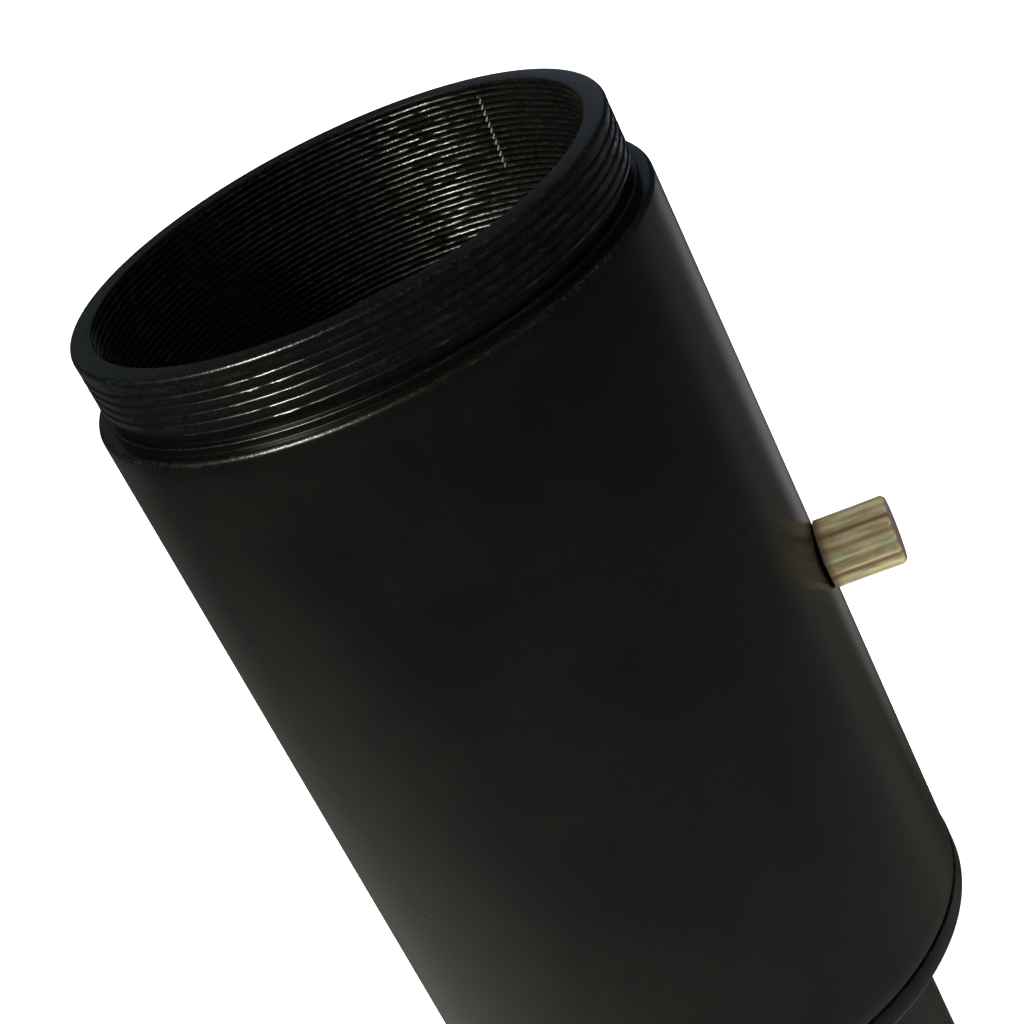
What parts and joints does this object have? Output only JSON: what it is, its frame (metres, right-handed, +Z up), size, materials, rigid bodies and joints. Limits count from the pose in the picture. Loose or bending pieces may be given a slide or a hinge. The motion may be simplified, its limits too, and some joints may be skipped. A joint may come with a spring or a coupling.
{
  "type": "telescope eyepiece projection adapter",
  "caption": "Black tube adapter with a 1.25 inch nosepiece, an M42 camera thread, a fine-threaded bore and a knurled side thumbscrew that clamps an eyepiece inside.",
  "frame": {"origin": "on the optical axis, at the height of the centroid of the whole adapter", "axes": "+Z up the optical axis towards the camera thread, +X out along the side thumbscrew towards its head, +Y completes the right-handed frame"},
  "size_m": [0.0499, 0.0442, 0.0983],
  "materials": {
    "black_anodised": "satin black anodised aluminium, with light on the thread crests",
    "plated_steel": "yellow zinc plate with faint pink and green tints, straight knurl",
    "band_brass": "drawn brass",
    "nylon": "natural nylon"
  },
  "bodies": {
    "tube": {"projection_tube": "black_anodised", "eyepiece_holder": "black_anodised", "compression_ring": "band_brass"},
    "nosepiece": {"nosepiece": "black_anodised"},
    "screw_carrier": {"screw_tip": "nylon"},
    "thumbscrew": {"thumbscrew": "plated_steel"}
  },
  "joints": [
    {"name": "nosepiece_unscrew", "type": "slide", "parent": "tube", "child": "nosepiece", "axis": [0, 0, -1], "range_m": [0, 0.0045]},
    {"name": "thumbscrew_travel", "type": "slide", "parent": "tube", "child": "screw_carrier", "axis": [1, 0, 0], "range_m": [0, 0.0025]},
    {"name": "thumbscrew_turn", "type": "hinge", "parent": "screw_carrier", "child": "thumbscrew", "pos_m": [0.0224, 0, 0.0042], "axis": [1, 0, 0], "range_deg": [0, 1800]}
  ],
  "couplings": [
    {"joint": "thumbscrew_turn", "follows": "thumbscrew_travel", "rad_per_m": 12566}
  ]
}
